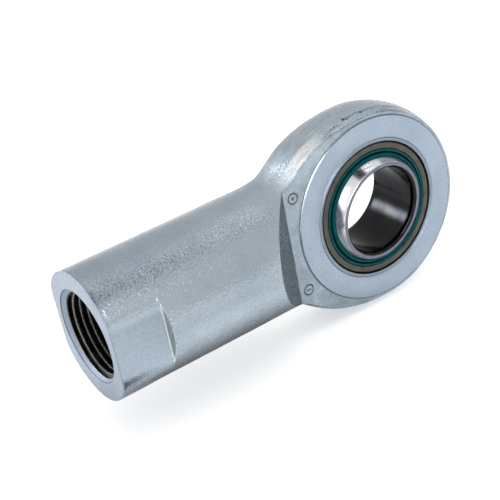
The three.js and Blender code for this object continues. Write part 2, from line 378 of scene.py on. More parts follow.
def skin_rows():
    """The upper rear quarter of the forged skin, and how much of it was milled away."""
    stations = stations_along()
    point, inward = outline(stations)
    point[-1] = (EYE_R, 0)
    inward[-1] = (-1, 0)
    x0, z0 = point.T
    nx, nz = inward.T
    crown_steps, cap_steps = 56, 34
    t = np.linspace(0, 1, crown_steps + 1)
    t = t + 0.09 * np.sin(2 * math.pi * t) / math.pi  # finer towards both ends
    crown = SHANK_R * (1 - np.cos(crown_angle(stations, x0, nx)[:, None] * t))
    w = np.linspace(0, 1, cap_steps + 1)[1:] ** 1.35  # finer towards the crown
    cap = crown[:, -1:] + (inward_reach(x0, z0, nx, nz)[:, None] - crown[:, -1:]) * w
    inset = np.hstack([crown, cap])
    x = x0[:, None] + nx[:, None] * inset
    z = z0[:, None] + nz[:, None] * inset
    depth = np.minimum(inset, SHANK_R)
    round_height = np.sqrt(np.maximum(SHANK_R**2 - (SHANK_R - depth) ** 2, 0))
    limit = cap_height(x)
    corner = np.where(x < WALL_END + 0.5, WALL_ROUND, CORNER_ROUND)
    corner = np.where(x < FLAT_END - 0.3, FLAT_ROUND, corner)
    y = smooth_min(round_height, limit, corner)
    y = np.where(inset < 1e-9, 0, np.maximum(y, 0))
    milled = smoothstep(-MILLED_FADE, MILLED_FADE, round_height - limit)
    milled *= x < WALL_END + 0.2
    return x, y, z, milled


def chamfered_end(x, y, z):
    """Pulls the first rows of the skin in to the chamfer at the end of the shank."""
    gap = np.maximum(0, RIM_CHAMFER - (x + LENGTH))
    gap = gap * (1 - 0.15 * np.sin(math.pi * gap / RIM_CHAMFER))  # bulging a little
    radius = np.maximum(np.hypot(y, z), 1e-9)
    flat = (np.abs(y) > FLAT_HALF - 0.12) & (gap > 0)
    shrink = np.where(flat, 1 - gap / np.maximum(y, 1), 1 - gap / radius)
    y2 = np.where(gap > 0, y * shrink, y)
    z2 = np.where((gap > 0) & ~flat, z * shrink, z)
    return y2, z2


def thread_rows(angles):
    """Helical rows of the thread, one row per angle, turn after turn, and their slots."""
    crest, flank = 0.25, 0.3125  # widths as shares of the pitch
    marks = [0, crest / 2, crest / 2 + flank, 1 - crest / 2 - flank, 1 - crest / 2, 1]
    heights = [0, 0, 1, 1, 0, 0]
    phase = np.unique(np.concatenate([np.linspace(0, 1, 13), marks]))
    height = np.interp(phase, marks, heights)
    height = height * height * (3 - 2 * height) * 0.35 + height * 0.65  # corners eased a little
    turns = int(THREAD_LENGTH / PITCH) + 3
    turn = np.concatenate([[k + a / (2 * math.pi) for a in angles] for k in range(turns)])
    sweep = turn * 2 * math.pi
    x = -LENGTH - 1.5 * PITCH + PITCH * (turn[:, None] + phase)
    cut = np.clip((THREAD_END - x) / (1.5 * PITCH), 0, 1)  # shallower in the run-out
    radius = MINOR_R + (MAJOR_R - MINOR_R) * height * cut
    radius = np.maximum(radius, MOUTH_R - (x + LENGTH))
    radius = np.where(x < -LENGTH, MOUTH_R, radius)
    radius = np.where(x > THREAD_END, MINOR_R, radius)
    x = np.clip(x, -LENGTH, THREAD_END)
    rows = np.stack([x, radius * np.cos(sweep)[:, None], radius * np.sin(sweep)[:, None]], axis=-1)
    on_cone = np.abs(radius - (MOUTH_R - (x + LENGTH))) <= 1e-6
    on_cone &= x < -LENGTH + MOUTH_PLATED
    slots = np.where(on_cone[:-1, :-1] & on_cone[1:, 1:], MACHINED, THREADED)
    return rows, slots


def forged_skin(skin):
    """Adds the forging's skin in four mirrored quarters; returns the outline of one's end."""
    x, y, z, milled = skin_rows()
    y, z = chamfered_end(x, y, z)
    near_end = np.clip((x + LENGTH - 0.2) / 2, 0.1, 1)
    grain = (1 - (1 - FLAT_GRAIN) * milled) * near_end
    on_wall = (x > FLAT_END - 0.01) & (milled > 0.5)
    slots = np.where(on_wall[:-1, :-1] & on_wall[1:, 1:], MACHINED, FORGED)
    slots[:2] = MACHINED  # the chamfer
    for side_y in (1, -1):
        for side_z in (1, -1):
            rows = np.stack([x, side_y * y, side_z * z], axis=-1)
            skin.grid(rows, slots=slots, grain=grain)
            inner = rows[:, -1]
            # the wall of the hole under the disc, from its edge to the middle plane
            edge = inner[np.hypot(inner[:, 0], inner[:, 2]) < INNER_HOLE_R + 0.01]
            skin.grid(np.stack([edge, edge * np.array([1, 0, 1])]), slot=MACHINED)
    return np.column_stack([y[0], z[0]])


def end_ring(quarter):
    """The full outline of the shank's end, from the quarter that the skin ends on."""
    first = quarter[::-1]  # from z = 0 at +y up to y = 0 at +z
    second = np.column_stack([-quarter[:, 0], quarter[:, 1]])[1:]
    upper = np.vstack([first, second])
    lower = np.column_stack([upper[::-1, 0], -upper[::-1, 1]])[1:-1]
    return np.vstack([upper, lower])


def level(x, flat):
    """Points of y and z laid at one place along X."""
    return np.column_stack([np.full(len(flat), x), flat])


def bore_of_shank(skin, ring):
    """Adds the end face, the thread and the drilled bottom."""
    angles = np.arctan2(ring[:, 1], ring[:, 0]) % (2 * math.pi)
    round_unit = np.column_stack([np.cos(angles), np.sin(angles)])
    mouth = MOUTH_R * round_unit
    face = [ring + (mouth - ring) * t for t in np.linspace(0, 1, 9)]
    skin.grid(np.array([level(-LENGTH, flat) for flat in face]), slot=MACHINED, wrap=True)
    rows, slots = thread_rows(angles)
    skin.grid(rows, slots=slots)
    drilled = -LENGTH + DRILL_DEPTH
    bottom = [(THREAD_END, MINOR_R), (drilled, MINOR_R), (drilled + DRILL_TIP, DRILL_POINT)]
    cup = np.array([level(x, r * round_unit) for x, r in bottom])
    skin.grid(cup, slot=THREADED, wrap=True)


def machined_disc(skin):
    """Adds the faced disc of the eye, with its staking rings and the seat."""
    seat = [(SEAT_R, 0), (SEAT_R, 9.6)]
    lip = [
        (LIP_R, 10.75), (LIP_R, 11.1),
        (LIP_R + 0.18, EYE_HALF - 0.06), (LIP_R + 0.45, EYE_HALF - 0.02),
    ]
    groove = [
        (GROOVE_R - 0.12, EYE_HALF - 0.2), (GROOVE_R + 0.1, EYE_HALF - 0.2),
        (GROOVE_R + 0.22, EYE_HALF),
    ]
    stake = [
        (STAKE_R - 0.25, EYE_HALF), (STAKE_R, EYE_HALF - 0.3), (STAKE_R + 0.22, EYE_HALF - 0.02),
    ]
    score = [(SCORE_R - 0.08, EYE_HALF), (SCORE_R, EYE_HALF - 0.07), (SCORE_R + 0.12, EYE_HALF)]
    rim = [
        (FACED_R - DISC_BEVEL, EYE_HALF), (FACED_R, EYE_HALF - DISC_BEVEL),
        (FACED_R, FORGED_HALF - 0.5),
    ]
    inside = [(INNER_HOLE_R - 1, FORGED_HALF - 0.9), (INNER_HOLE_R - 1, 0)]
    half = [*seat, *lip, *groove, *stake, *score, *rim, *inside]
    for side in (1, -1):
        skin.grid(lathe([(r, side * y) for r, y in half]), slot=MACHINED, wrap=True)


def crown_marks(place):
    """Rise of the skin at the flash line, and the share of painted highlight on the ground wedge,
    per point in mm.
    """
    x, y, z = place.T
    turn = np.degrees(np.arctan2(z, x))
    front = (y < -1) & (np.hypot(x, z) > FACED_R)
    line = np.interp(turn, FLASH_TURN, FLASH_Y)
    for rate, swing, phase in FLASH_WAVES:
        line += swing * np.sin(rate * turn + phase)
    along = smoothstep(*FLASH_START, turn) * (1 - smoothstep(*RISE_STOP, turn)) * front
    away = y - line
    rise = FLASH_RISE * smoothstep(-0.5, 0.5, away) * (1 - smoothstep(1.0, 3.5, away)) * along
    # the ground wedge by the crown's edge, brighter towards the ridge: bare ground metal with a
    # painted highlight over it
    ground = smoothstep(114, 124, turn) * (1 - smoothstep(134, 150, turn)) * front
    crown = smoothstep(-10.96, -10.6, y) * (1 - smoothstep(-6.2, -4.5, y))
    ridge = 1 - smoothstep(-10.2, -9.5, y)
    return rise, ground * crown * (0.75 + 0.25 * ridge)


def roughen(piece):
    """Gives the forged skin its shallow dents and waves, and the marks on its crown."""
    mesh = piece.data
    count = len(mesh.vertices)
    grain = np.empty(count, np.float32)
    mesh.attributes["grain"].data.foreach_get("value", grain)
    place = np.empty(count * 3, np.float32)
    mesh.vertices.foreach_get("co", place)
    place = place.reshape(-1, 3)
    normal = np.empty(count * 3, np.float32)
    mesh.vertex_normals.foreach_get("vector", normal)
    normal = normal.reshape(-1, 3)
    polish_and_highlight = np.zeros(count, np.float32)
    forged = np.nonzero(grain > 0)[0]
    rise, polish_and_highlight[forged] = crown_marks(place[forged] / MM)
    for i, extra in zip(forged, rise):
        p = Vector(place[i]) / MM
        dent = sum(noise.noise(p * rate) * depth for rate, depth in DENTS) - DENTS_SUNK
        place[i] += normal[i] * (float(grain[i]) * dent + extra - SKIN_SUNK) * MM
    mesh.vertices.foreach_set("co", place.ravel())
    # this layer holds the ground wedge and the painted highlight on it
    layer = mesh.attributes.new("polish_and_highlight", "FLOAT", "POINT")
    layer.data.foreach_set("value", polish_and_highlight)
    mesh.update()


def stroke_distance(x, z, kind):
    """Distance in millimetres from the strokes of a plain inspection stamp."""
    ring = np.abs(np.hypot(x, z) - STAMP_R)
    if kind == "dot":
        return np.minimum(ring, np.maximum(np.hypot(x, z) - 0.35, 0))
    return np.minimum(ring, np.hypot(np.maximum(np.abs(x) - 1.0, 0), z))


def from_stamp(v, centre):
    """Millimetres from a stamp's centre to a vertex, or None away from it or behind."""
    x, z = v.co.x / MM - centre[0], v.co.z / MM - centre[1]
    if v.co.y < -0.01 and math.hypot(x, z) < STAMP_REACH:
        return x, z
    return None


def stamp(piece):
    """Presses two plain inspection stamps into the front of the neck."""
    shape = bmesh.new()
    shape.from_mesh(piece.data)
    stain = shape.verts.layers.float.new("stain")
    for *centre, kind in STAMPS:
        edges = [e for e in shape.edges if all(from_stamp(v, centre) for v in e.verts)]
        bmesh.ops.subdivide_edges(shape, edges=edges, cuts=3, use_grid_fill=True)
        for v in shape.verts:
            place = from_stamp(v, centre)
            if place:
                away = stroke_distance(*place, kind)
                groove = math.exp(-((away / 0.26) ** 2))
                burr = math.exp(-(((away - 0.6) / 0.2) ** 2))
                v.co.y += (STAMP_DEPTH * groove - STAMP_BURR * burr) * MM
                # this layer marks where the stamps' grooves are painted dark: painted shade
                v[stain] = max(v[stain], groove)
    shape.to_mesh(piece.data)
    shape.free()


def housing(materials):
    skin = Skin()
    quarter = forged_skin(skin)
    bore_of_shank(skin, end_ring(quarter))
    machined_disc(skin)
    piece = skin.build("housing_body", materials)
    roughen(piece)
    stamp(piece)
    smooth(piece)
    return piece


# ---- bearing -----------------------------------------------------------------


def ring_turn():
    """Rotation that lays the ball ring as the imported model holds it."""
    rear = next(m for m in frame["record"]["mounts"] if m["name"] == "ring_rear_face")
    return Vector((0, 1, 0)).rotation_difference(Vector(rear["axis"])).to_matrix().to_4x4()


def outer_ring(material):
    inside = ball_arc(RACE_R, RACE_HALF, -RACE_HALF, 40)
    land = [(SEAL_SEAT_R, -RACE_HALF), (SEAL_SEAT_R, -OUTER_HALF + 0.02)]
    chamfer = [(29.68, -OUTER_HALF), (29.78, -10.3), (30.7, -9.35), (OUTER_R, -9.2)]
    lower = rounded_run([*land, *chamfer], 0.12)
    upper = [(r, -y) for r, y in lower][::-1]
    profile = inside + lower + upper
    skin = Skin()
    skin.grid(lathe(profile + profile[:1]), wrap=True)
    piece = skin.build("race_outer", [material])
    smooth(piece, 40)
    return piece


def inner_ring(ball, ground, bore):
    edge_r = math.sqrt(BALL_R**2 - RING_HALF**2)
    sphere = ball_arc(BALL_R, -RING_HALF + 0.12, RING_HALF - 0.12, 120)
    face = [
        (edge_r - 0.1, RING_HALF - 0.02), (edge_r - 0.25, RING_HALF),
        (BORE_R + BORE_CHAMFER + 0.12, RING_HALF), (BORE_R + BORE_CHAMFER - 0.05, RING_HALF - 0.07),
        (BORE_R + 0.1, RING_HALF - BORE_CHAMFER + 0.05), (BORE_R, RING_HALF - BORE_CHAMFER - 0.15),
    ]
    front = [(r, -y) for r, y in face][::-1]
    straight = RING_HALF - BORE_CHAMFER - 0.2
    wall = [(BORE_R, y) for y in np.linspace(straight, -straight, 12)][1:-1]
    skin = Skin()
    skin.grid(lathe(sphere, RING_STEPS), slot=0, wrap=True)
    skin.grid(lathe([sphere[-1], *face[:4]], RING_STEPS), slot=1, wrap=True)
    skin.grid(lathe([*face[3:], *wall, *front[:3]], RING_STEPS), slot=2, wrap=True)
    skin.grid(lathe([*front[2:], sphere[0]], RING_STEPS), slot=1, wrap=True)
    piece = skin.build("race_inner", [ball, ground, bore], weld=0.001)
    piece.data.transform(ring_turn())
    smooth(piece, 35)
    return piece


def seal(name, side, material):
    """A moulded seal with a round outer ridge, a groove and a lip along the ball."""
    profile = [
        (25.1, 9.15), (27.08, 9.15), (27.02, 11.2), (25.85, 11.22), (25.68, 9.9),
        (25.28, 9.9), (25.05, 11.45), (24.55, 12.05), (23.92, 11.86), (24.35, 10.92), (24.75, 9.99),
    ]
    radii = [0, 0, 0.55, 0.45, 0.1, 0.1, 0.35, 0.35, 0.08, 0, 0]
    line = [(r, side * y) for r, y in rounded(profile, radii, 7)]
    skin = Skin()
    skin.grid(lathe(line), wrap=True)
    piece = skin.build(name, [material])
    smooth(piece, 45)
    return piece


# ---- materials ---------------------------------------------------------------


class Paint:
    """A principled material with short calls to wire procedural nodes into it."""

    def __init__(self, name, color, roughness, metallic, specular=0.5):
        self.material = bpy.data.materials.new(name)
        self.material.use_nodes = True
        self.nodes = self.material.node_tree.nodes
        self.links = self.material.node_tree.links
        self.shader = self.nodes["Principled BSDF"]
        self.shader.inputs["Base Color"].default_value = (*color, 1)
        self.shader.inputs["Roughness"].default_value = roughness
        self.shader.inputs["Metallic"].default_value = metallic
        self.shader.inputs["Specular IOR Level"].default_value = specular
        self.place = self.nodes.new("ShaderNodeTexCoord").outputs["Object"]
        self.normal = None

    def put(self, value, socket):
        """Links an output to a socket, or sets a number or a colour on it."""
        if isinstance(value, (int, float)):
            socket.default_value = value
        elif isinstance(value, tuple):
            socket.default_value = (*value, 1)
        else:
            self.links.new(value, socket)

    # -- arithmetic --

    def math(self, operation, *values, clamp=False):
        node = self.nodes.new("ShaderNodeMath")
        node.operation = operation
        node.use_clamp = clamp
        for socket, value in zip(node.inputs, values):
            self.put(value, socket)
        return node.outputs[0]

    def times(self, product, *others):
        for other in others:
            product = self.math("MULTIPLY", product, other)
        return product

    def plus(self, a, b):
        return self.math("ADD", a, b)

    def minus(self, a, b):
        return self.math("SUBTRACT", a, b)

    def most(self, a, b):
        return self.math("MAXIMUM", a, b)

    def absolute(self, value):
        return self.math("ABSOLUTE", value)

    def below(self, value, limit):
        """One where the value is below the limit, zero elsewhere."""
        return self.math("LESS_THAN", value, limit)

    def without(self, share):
        """What is left of one after a share."""
        return self.math("SUBTRACT", 1.0, share)

    def hypotenuse(self, a, b):
        return self.math("SQRT", self.plus(self.times(a, a), self.times(b, b)))

    def between(self, value, low, high):
        """Zero at low, one at high and level outside them, in the value's own unit."""
        return self.math("DIVIDE", self.minus(value, low), high - low, clamp=True)

    def band(self, value, middle, half_width):
        """One where the value is at the middle, zero half a width away."""
        away = self.absolute(self.minus(value, middle))
        return self.math("SUBTRACT", 1.0, self.math("DIVIDE", away, half_width), clamp=True)

    # -- places, in millimetres --

    def scaled(self, x, y, z):
        node = self.nodes.new("ShaderNodeMapping")
        node.inputs["Scale"].default_value = (x, y, z)
        self.put(self.place, node.inputs["Vector"])
        return node.outputs[0]

    def millimetres(self):
        """The place in millimetres, as x, y and z."""
        node = self.nodes.new("ShaderNodeSeparateXYZ")
        self.put(self.scaled(1 / MM, 1 / MM, 1 / MM), node.inputs[0])
        return node.outputs[0], node.outputs[1], node.outputs[2]

    def radius(self):
        """Distance from the eye's axis, in millimetres."""
        x, _, z = self.millimetres()
        return self.hypotenuse(x, z)

    def spot(self, centre, reach):
        """One inside a ragged spot about a place in millimetres."""
        parts = [self.minus(v, c) for v, c in zip(self.millimetres(), centre)]
        away = self.hypotenuse(self.hypotenuse(parts[0], parts[1]), parts[2])
        ragged = self.plus(away, self.times(self.noise(0.9, 3), 1.4 * reach))
        return self.without(self.between(ragged, 1.1 * reach, 1.8 * reach))

    # -- patterns --

    def noise(self, per_mm, detail=3, rough=0.55, vector=None):
        """Noise whose features are about 1 / per_mm millimetres across."""
        node = self.nodes.new("ShaderNodeTexNoise")
        node.inputs["Scale"].default_value = per_mm / MM
        node.inputs["Detail"].default_value = detail
        node.inputs["Roughness"].default_value = rough
        self.put(vector or self.place, node.inputs["Vector"])
        return node.outputs["Fac"]

    def turned(self, per_mm):
        """Noise in rings about the eye's axis, about 1 / per_mm millimetres apart."""
        node = self.nodes.new("ShaderNodeCombineXYZ")
        self.put(self.radius(), node.inputs["X"])
        return self.noise(per_mm * MM, 2, 0.5, node.outputs[0])  # the radius is in millimetres

    def cells(self, per_mm):
        node = self.nodes.new("ShaderNodeTexVoronoi")
        node.inputs["Scale"].default_value = per_mm / MM
        self.put(self.place, node.inputs["Vector"])
        return node.outputs["Distance"]

    def attribute(self, name):
        node = self.nodes.new("ShaderNodeAttribute")
        node.attribute_name = name
        return node.outputs["Fac"]

    # -- colours --

    def ramp(self, value, stops):
        """Colours or greys at places from 0 to 1."""
        node = self.nodes.new("ShaderNodeValToRGB")
        ramp = node.color_ramp
        while len(ramp.elements) < len(stops):
            ramp.elements.new(0.5)
        for element, (place, color) in zip(ramp.elements, stops):
            element.position = place
            if isinstance(color, (int, float)):
                color = (color, color, color)
            element.color = (*color, 1)
        self.put(value, node.inputs[0])
        return node.outputs[0]

    def mix(self, share, a, b, mode="MIX"):
        node = self.nodes.new("ShaderNodeMix")
        node.data_type = "RGBA"
        node.blend_type = mode
        for socket, value in zip((node.inputs[0], node.inputs[6], node.inputs[7]), (share, a, b)):
            self.put(value, socket)
        return node.outputs[2]

    def tint(self, color, by, share=1.0):
        return self.mix(share, color, by, "MULTIPLY")

    # -- on the shader --

    def bump(self, height, strength, depth_mm):
        """Adds a bump on top of those already there."""
        node = self.nodes.new("ShaderNodeBump")
        node.inputs["Strength"].default_value = strength
        node.inputs["Distance"].default_value = depth_mm * MM
        self.put(height, node.inputs["Height"])
        if self.normal is not None:
            self.put(self.normal, node.inputs["Normal"])
        self.normal = node.outputs[0]
        self.put(self.normal, self.shader.inputs["Normal"])

    def color(self, out):
        self.put(out, self.shader.inputs["Base Color"])

    def roughness(self, out):
        self.put(out, self.shader.inputs["Roughness"])


def slope_shade_mask(p):
    """One on the slopes between the shank and the eye, where |y| + x is constant; it masks the
    painted shade there.
    """
    x, y, _ = p.millimetres()
    start = FORGED_HALF + SLOPE_X
    rising = p.between(p.plus(p.absolute(y), x), start - 0.7, start - 0.35)
    return p.times(rising, p.without(p.between(x, SLOPE_X - 0.7, SLOPE_X - 0.2)))


def flash_crack_and_shadow(p):
    """One on the thin dark line where the flash was trimmed off the crown: its crack, and the
    painted shadow at the foot of its step.
    """
    x, y, z = p.millimetres()
    turn = p.times(p.math("ARCTAN2", z, x), 180 / math.pi)
    lowest = -12.0  # a ramp's stops run from 0 to 1, so heights are kept as shares of this
    stops = [(a / 180, h / lowest) for a, h in zip(FLASH_TURN, FLASH_Y)]
    line = p.times(p.ramp(p.math("DIVIDE", turn, 180.0), stops), lowest)
    for rate, swing, phase in FLASH_WAVES:
        wave = p.math("SINE", p.plus(p.times(turn, rate), phase))
        line = p.plus(line, p.times(wave, swing))
    ragged = p.times(p.minus(p.noise(0.8, 3), 0.5), 0.9)
    away = p.absolute(p.plus(p.minus(y, line), ragged))
    width = p.times(p.between(p.noise(0.12, 3), 0.42, 0.68), 0.42)
    crack_and_shadow = p.math("SUBTRACT", 1.0, p.math("DIVIDE", away, p.plus(width, 0.02)), clamp=True)
    ends = p.times(p.between(turn, *FLASH_START), p.without(p.between(turn, *CRACK_STOP)))
    outside = p.between(p.hypotenuse(x, z), FACED_R, FACED_R + 0.5)
    return p.times(crack_and_shadow, outside, ends, p.below(y, -1.0))


def forged_color(p, on_face, milled, flaws_and_shadow):
    """Blue-grey zinc with all that darkens and brightens it, one layer over another."""
    x, _, _ = p.millimetres()
    base = p.ramp(p.noise(0.035, 4), [(0.3, (0.36, 0.43, 0.495)), (0.7, (0.45, 0.515, 0.57))])
    mottle = p.ramp(p.noise(0.7, 4, 0.7), [(0.28, 0.7), (0.42, 0.93), (0.65, 1.0)])
    color = p.tint(base, mottle, 0.55)
    rub = p.ramp(p.noise(0.8, 3, 0.65, p.scaled(0.14, 1.4, 0.14)), [(0.35, 0.9), (0.62, 1.25)])
    on_crown = p.times(p.between(x, -52.0, -40.0), p.between(p.radius(), FACED_R, FACED_R + 0.8))
    color = p.mix(on_crown, color, p.tint(color, rub))
    # the faces of the eye by the neck painted darker: painted shade
    color = p.mix(on_face, color, p.tint(color, (0.7, 0.72, 0.73)))
    streaks = p.ramp(p.noise(1.0, 3, 0.6, p.scaled(0.25, 1.6, 0.25)), [(0.3, 0.6), (0.6, 1.0)])
    # the ground wedge painted near-white: ground metal with a painted highlight
    color = p.mix(p.attribute("polish_and_highlight"), color, p.tint((0.97, 0.98, 0.97), streaks))
    # the slopes painted dark: painted shade
    color = p.mix(p.times(slope_shade_mask(p), 0.95), color, (0.09, 0.115, 0.125))
    # painted shade: a dark line at the foot of the machined disc's step
    foot_shade = p.times(p.band(p.radius(), FACED_R + 0.12, 0.22), 0.6)
    color = p.mix(foot_shade, color, (0.06, 0.065, 0.07))
    # the flash line and the flaws painted dark: real cracks and flaws, with painted shadow at the
    # foot of the flash's step
    color = p.mix(p.times(flaws_and_shadow, 0.85), color, NEAR_BLACK)
    color = p.mix(p.times(milled, 0.8), color, p.tint(MILLED_ZINC, mottle, 0.7))
    # a painted highlight along the foot of the wrench flat's wall
    cut = p.times(p.band(x, FLAT_END, 0.4), milled)
    color = p.mix(p.times(cut, 0.85), color, EDGE_HIGHLIGHT)
    # the stamps' grooves painted near-black: painted shade
    return p.mix(p.attribute("stain"), color, (0.045, 0.05, 0.055))


def forged_zinc():
    """Zinc plate on a blasted forging: grains, scale marks and the marks on the crown."""
    p = Paint("forged_zinc", (0.4, 0.46, 0.53), 0.42, 1.0)
    x, y, z = p.millimetres()
    on_face = p.times(p.between(p.absolute(y), 10.5, 10.7), p.between(x, SLOPE_X - 1, SLOPE_X))
    milled = p.between(p.attribute("grain"), 1.0, FLAT_GRAIN)
    flaws_and_shadow = flash_crack_and_shadow(p)
    for centre, reach in FLAWS:
        flaws_and_shadow = p.most(flaws_and_shadow, p.spot(centre, reach))
    p.color(forged_color(p, on_face, milled, flaws_and_shadow))
    grains = p.noise(0.9, 2, 0.6)
    neck = p.times(p.band(x, NECK_GLOSS_X, 16.0), p.between(z, 18.0, 26.0), p.without(on_face))
    duller = p.plus(p.times(neck, 0.3), p.times(p.attribute("polish_and_highlight"), 0.12))
    p.roughness(p.plus(p.ramp(grains, [(0.3, 0.2), (0.7, 0.34)]), duller))
    underside = p.between(z, -6.0, -16.0)
    rough = p.without(p.times(p.most(milled, p.times(underside, 0.8)), 0.75))
    p.bump(p.without(flaws_and_shadow), 1.0, 0.2)
    p.bump(p.times(p.noise(0.3, 3), rough), 0.6, 0.14)
    p.bump(p.times(grains, rough), 1.0, 0.25)
    return p.material


def machined_color(p):
    """Turned and milled zinc, with painted highlights and painted shade on its edges, painted shade
    in its grooves and a darker ring at the thread's mouth.
    """
    x, y, z = p.millimetres()
    radius, across = p.radius(), p.hypotenuse(y, z)
    base = p.ramp(p.noise(0.05, 4), [(0.3, (0.31, 0.375, 0.455)), (0.7, MILLED_ZINC)])
    mottle = p.ramp(p.noise(1.3, 4, 0.7), [(0.3, 0.66), (0.46, 0.92), (0.62, 1.05)])
    color = p.tint(base, mottle, 0.75)
    on_eye = p.math("GREATER_THAN", x, SLOPE_X)
    # painted shade in the staking grooves
    rings = p.plus(p.band(radius, STAKE_R, 0.18), p.band(radius, GROOVE_R, 0.16))
    color = p.mix(p.times(rings, on_eye, 0.7), color, (0.1, 0.11, 0.12))
    # the disc's bevel painted bright on the upper left and dark elsewhere: painted highlight and
    # painted shade
    lit_upper_left = p.times(p.between(x, -19.0, -27.0), p.between(z, 2.0, 8.0))
    rim = p.mix(lit_upper_left, (0.11, 0.12, 0.13), (0.85, 0.87, 0.85))
    bevel = p.times(p.band(radius, FACED_R - 0.2, 0.3), on_eye)
    color = p.mix(p.times(bevel, 0.75), color, rim)
    wall = p.times(p.between(x, FLAT_END - 0.15, FLAT_END + 0.05), p.below(x, SLOPE_X))
    color = p.mix(wall, color, (0.42, 0.48, 0.47))
    # painted highlights along the edges of the wrench flat and its wall
    far_edge = p.times(p.between(across, SHANK_R - 0.75, SHANK_R - 0.4), wall)
    edges = p.most(p.band(x, FLAT_END, 0.4), far_edge)
    color = p.mix(p.times(edges, 0.85), color, EDGE_HIGHLIGHT)
    # a darker ring at the edge of the thread's mouth
    mouth = p.times(p.band(across, MOUTH_R - 0.25, 0.3), 0.75, p.below(x, -LENGTH + 1.5))
    return p.mix(mouth, color, NEAR_BLACK)


def machined_zinc():
    """Zinc plate over turned and milled faces, with turning marks and a fine grain."""
    p = Paint("machined_zinc", (0.42, 0.49, 0.58), 0.36, 1.0)
    x, y, z = p.millimetres()
    p.color(machined_color(p))
    grains = p.noise(0.9, 4, 0.7)
    inside_mouth = p.between(p.hypotenuse(y, z), MOUTH_R, MOUTH_R - 0.2)
    cone = p.times(inside_mouth, p.below(x, -LENGTH + 4))
    rim = p.times(
        p.between(x, -LENGTH + 0.02, -LENGTH + 0.08), p.between(x, -LENGTH + 1.0, -LENGTH + 0.6)
    )
    dull = p.times(p.most(cone, rim), 0.32)
    p.roughness(p.plus(p.ramp(grains, [(0.3, 0.26), (0.7, 0.42)]), dull))
    p.bump(p.turned(1.6), 0.2, 0.06)
    p.bump(grains, 0.6, 0.16)
    return p.material


def oily_thread():
    """Cut steel in the thread: lighter on the crests with a painted highlight along one edge of
    each, dark with oil below them.
    """
    p = Paint("oily_thread", (0.1, 0.105, 0.105), 0.3, 0.8)
    x, y, z = p.millimetres()
    stain = p.noise(0.25, 4)
    color = p.ramp(stain, [
        (0.35, (0.007, 0.009, 0.01)), (0.65, (0.03, 0.03, 0.029)), (0.8, (0.11, 0.085, 0.065)),
    ])
    # how far each place is through its turn of the thread, from -0.5 to 0.5
    advance = p.math("DIVIDE", p.plus(x, LENGTH + 2 * PITCH), PITCH)
    turns = p.math("DIVIDE", p.math("ARCTAN2", z, y), 2 * math.pi)
    phase = p.minus(p.math("FRACT", p.minus(advance, turns)), 0.5)
    on_crest = p.between(p.hypotenuse(y, z), MINOR_R + 0.3, MINOR_R + 0.1)
    color = p.mix(p.times(on_crest, 0.6), color, (0.3, 0.28, 0.25))
    # a painted highlight: a near-white line along the edge of each crest that faces the mouth
    line = p.between(p.absolute(p.plus(phase, 0.075)), 0.07, 0.04)
    color = p.mix(p.times(line, on_crest), color, (0.95, 0.95, 0.92))
    plated = p.between(x, -LENGTH + MOUTH_PLATED + 0.2, -LENGTH + MOUTH_PLATED - 0.2)
    p.color(p.mix(plated, color, (0.42, 0.46, 0.48)))
    p.roughness(p.plus(p.ramp(stain, [(0.3, 0.2), (0.8, 0.4)]), p.times(plated, 0.4)))
    p.bump(p.noise(1.2, 3), 0.3, 0.04)
    return p.material


def phosphated_steel():
    """Dark brown phosphate on the outer ring, with turning marks and one rust spot."""
    p = Paint("phosphated_steel", (0.1, 0.09, 0.078), 0.5, 0.75)
    dark = p.ramp(p.noise(0.2, 4), [(0.3, (0.075, 0.07, 0.062)), (0.7, (0.12, 0.108, 0.092))])
    p.color(p.mix(p.times(p.spot(RUST_SPOT, 1.3), 0.8), dark, (0.06, 0.035, 0.02)))
    p.roughness(p.ramp(p.noise(2.0, 3), [(0.3, 0.42), (0.7, 0.6)]))
    p.bump(p.turned(4.0), 0.25, 0.03)
    p.bump(p.noise(3.0, 3), 0.2, 0.03)
    return p.material


def green_seal():
    """Moulded polyurethane, teal green and satin, with painted shade in its sunk groove and at its
    outer edge.
    """
    p = Paint("green_seal", (0.0, 0.08, 0.075), 0.4, 0.0, 0.08)
    green = p.ramp(p.noise(0.3, 4), [(0.3, (0.0, 0.054, 0.058)), (0.7, (0.0, 0.086, 0.088))])
    radius = p.radius()
    _, y, _ = p.millimetres()
    # painted shade: near-black in the sunk part of the groove and along the outer edge against the
    # race
    sunk = p.between(p.absolute(y), 11.0, 10.7)
    rim = p.band(radius, 27.15, 0.25)
    groove = p.math("MULTIPLY", p.plus(p.band(radius, 25.48, 0.75), rim), 1.6, clamp=True)
    p.color(p.mix(p.most(p.times(groove, sunk), rim), green, (0.0, 0.004, 0.004)))
    p.roughness(p.ramp(p.noise(1.5, 3), [(0.3, 0.34), (0.7, 0.5)]))
    p.bump(p.noise(2.5, 3), 0.15, 0.02)
    return p.material


def mirror_chrome():
    """Hard chrome on the ball, polished, with hairline marks round it."""
    p = Paint("mirror_chrome", (0.78, 0.79, 0.84), 0.12, 1.0)
    p.roughness(p.ramp(p.noise(0.4, 4), [(0.3, 0.14), (0.75, 0.2)]))
    p.color(p.ramp(p.noise(0.1, 3), [(0.3, (0.74, 0.75, 0.82)), (0.7, (0.82, 0.83, 0.88))]))
    p.bump(p.noise(2.0, 2, 0.5, p.scaled(0.15, 1.0, 0.15)), 0.03, 0.006)
    return p.material


